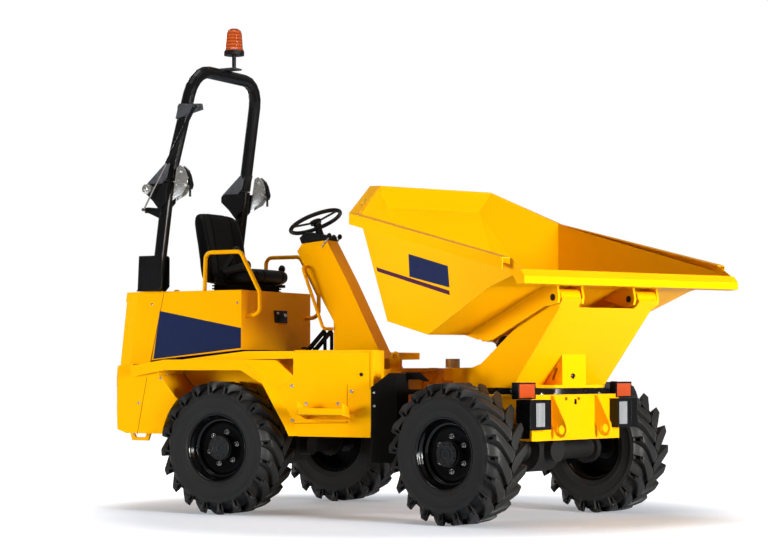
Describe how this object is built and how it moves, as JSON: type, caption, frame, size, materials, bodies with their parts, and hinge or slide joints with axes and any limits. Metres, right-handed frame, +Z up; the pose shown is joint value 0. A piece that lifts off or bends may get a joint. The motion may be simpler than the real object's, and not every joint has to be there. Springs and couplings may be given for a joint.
{
  "type": "site dumper",
  "caption": "Articulated site dumper with a swivelling, forward-tipping skip, open driver's seat, folding roll hoop and lugged tyres.",
  "frame": {"origin": "centre of the footprint of the whole machine as parked, on the ground", "axes": "+X forward along the rear frame, +Y to the machine's left, +Z up"},
  "size_m": [4.297, 2.293, 3.2657],
  "materials": {
    "machine_yellow": "gloss enamel",
    "frame_black": "satin black",
    "rim_black": "gloss black",
    "rubber_tyre": "matt",
    "flap_rubber": "matt",
    "rod_chrome": "polished",
    "iron": "rough",
    "seat_vinyl": "satin vinyl",
    "plastic_black": "grained",
    "lens_amber": "clear amber",
    "lens_red": "clear red",
    "lens_clear": "ribbed clear",
    "cap_plated": "yellow passivated"
  },
  "bodies": {
    "rear_frame": {"rear_chassis": "machine_yellow", "counterweight": "machine_yellow", "engine_block": "iron", "rear_axle": "frame_black", "fenders": "machine_yellow", "side_boxes": "machine_yellow", "rear_cowl": "machine_yellow", "floor_plate": "frame_black", "control_tower": "machine_yellow", "dash_panel": "plastic_black", "tower_rail": "machine_yellow", "lock_link": "machine_yellow", "rops_legs": "frame_black", "tail_lamps": "lens_red", "tow_hitch": "frame_black"},
    "seat_hood": {"engine_cover": "machine_yellow", "seat_suspension": "flap_rubber", "seat_cushion": "seat_vinyl", "seat_back": "seat_vinyl", "grab_rails": "machine_yellow"},
    "steering_wheel": {"steering_wheel": "plastic_black"},
    "roll_hoop": {"rops_hoop": "frame_black", "hoop_brackets": "frame_black", "beacon_base": "plastic_black", "beacon_lens": "lens_amber"},
    "strut_tube": {"strut_tube": "frame_black"},
    "strut_rod": {"strut_rod": "rod_chrome"},
    "centre_knuckle": {"centre_knuckle": "machine_yellow"},
    "steer_barrel": {"steer_barrel": "frame_black"},
    "steer_rod": {"steer_rod": "rod_chrome"},
    "front_frame": {"front_chassis": "machine_yellow", "front_axle": "frame_black", "slew_ring": "frame_black", "lamp_bar": "frame_black", "lamp_housings": "frame_black", "headlamps": "lens_clear", "indicators": "lens_amber", "mudguards": "flap_rubber", "breather_cap": "cap_plated"},
    "turntable": {"pedestal": "machine_yellow"},
    "skip": {"skip": "machine_yellow", "tip_pins": "frame_black"},
    "tip_barrel": {"tip_barrel": "frame_black"},
    "tip_stage": {"tip_stage": "rod_chrome"},
    "tip_rod": {"tip_rod": "rod_chrome"},
    "wheel_rl": {"rim_rl": "rim_black", "tyre_rl": "rubber_tyre"},
    "wheel_rr": {"rim_rr": "rim_black", "tyre_rr": "rubber_tyre"},
    "wheel_fl": {"rim_fl": "rim_black", "tyre_fl": "rubber_tyre"},
    "wheel_fr": {"rim_fr": "rim_black", "tyre_fr": "rubber_tyre"}
  },
  "joints": [
    {"name": "articulate", "type": "hinge", "parent": "rear_frame", "child": "centre_knuckle", "pos_m": [0.14154, 0.20137, 0.812], "axis": [0, 0, 1], "range_deg": [-9.5, 34.5]},
    {"name": "oscillate", "type": "hinge", "parent": "centre_knuckle", "child": "front_frame", "pos_m": [0.3368, 0.15808, 0.812], "axis": [0.9763, -0.2164, 0], "range_deg": [-5, 5]},
    {"name": "slew", "type": "hinge", "parent": "front_frame", "child": "turntable", "pos_m": [0.92257, 0.02822, 0.79], "axis": [0, 0, 1], "range_deg": [-76, 104]},
    {"name": "tip", "type": "hinge", "parent": "turntable", "child": "skip", "pos_m": [1.52665, -0.27297, 1.345], "axis": [0.4462, 0.8949, 0], "range_deg": [0, 65]},
    {"name": "tip_barrel_pin", "type": "hinge", "parent": "turntable", "child": "tip_barrel", "pos_m": [1.10156, -0.06102, 0.895], "axis": [0.4462, 0.8949, 0], "range_deg": [0, 66]},
    {"name": "tip_stage_slide", "type": "slide", "parent": "tip_barrel", "child": "tip_stage", "axis": [-0.8333, 0.4155, 0.3647], "range_m": [0, 0.36]},
    {"name": "tip_rod_slide", "type": "slide", "parent": "tip_stage", "child": "tip_rod", "axis": [-0.8333, 0.4155, 0.3647], "range_m": [0, 0.36]},
    {"name": "steer_barrel_pin", "type": "hinge", "parent": "rear_frame", "child": "steer_barrel", "pos_m": [-0.25846, 0.03637, 0.68], "axis": [0, 0, 1], "range_deg": [-2, 6]},
    {"name": "steer_rod_slide", "type": "slide", "parent": "steer_barrel", "child": "steer_rod", "axis": [0.9946, -0.1036, 0], "range_m": [-0.034, 0.124]},
    {"name": "steer_turn", "type": "hinge", "parent": "rear_frame", "child": "steering_wheel", "pos_m": [-0.74646, 0.20137, 1.912], "axis": [-0.4067, 0, 0.9135], "continuous": true},
    {"name": "cover_lift", "type": "hinge", "parent": "rear_frame", "child": "seat_hood", "pos_m": [-1.65846, 0.20137, 1.453], "axis": [0, -1, 0], "range_deg": [0, 45]},
    {"name": "hoop_fold", "type": "hinge", "parent": "rear_frame", "child": "roll_hoop", "pos_m": [-1.73046, 0.20137, 2.13], "axis": [0, -1, 0], "range_deg": [0, 100]},
    {"name": "strut_pin", "type": "hinge", "parent": "roll_hoop", "child": "strut_tube", "pos_m": [-1.35046, -0.35663, 2.664], "axis": [0, -1, 0], "range_deg": [-17, 0]},
    {"name": "strut_slide", "type": "slide", "parent": "strut_tube", "child": "strut_rod", "axis": [-0.5162, 0, -0.8565], "range_m": [-0.09, 0]},
    {"name": "wheel_rl", "type": "hinge", "parent": "rear_frame", "child": "wheel_rl", "pos_m": [-0.95846, 0.95137, 0.4225], "axis": [0, 1, 0], "continuous": true},
    {"name": "wheel_rr", "type": "hinge", "parent": "rear_frame", "child": "wheel_rr", "pos_m": [-0.95846, -0.54863, 0.4225], "axis": [0, 1, 0], "continuous": true},
    {"name": "wheel_fl", "type": "hinge", "parent": "front_frame", "child": "wheel_fl", "pos_m": [1.0849, 0.76044, 0.4225], "axis": [0.2164, 0.9763, 0], "continuous": true},
    {"name": "wheel_fr", "type": "hinge", "parent": "front_frame", "child": "wheel_fr", "pos_m": [0.76024, -0.704, 0.4225], "axis": [0.2164, 0.9763, 0], "continuous": true}
  ],
  "couplings": [
    {"joint": "tip_barrel_pin", "follows": "tip", "ratio": 0.9415},
    {"joint": "tip_stage_slide", "follows": "tip", "m_per_rad": 0.3085},
    {"joint": "tip_rod_slide", "follows": "tip", "m_per_rad": 0.3085},
    {"joint": "steer_barrel_pin", "follows": "articulate", "ratio": 0.12},
    {"joint": "steer_rod_slide", "follows": "articulate", "m_per_rad": 0.1936},
    {"joint": "strut_pin", "follows": "hoop_fold", "ratio": -0.156},
    {"joint": "strut_slide", "follows": "hoop_fold", "m_per_rad": -0.047}
  ]
}
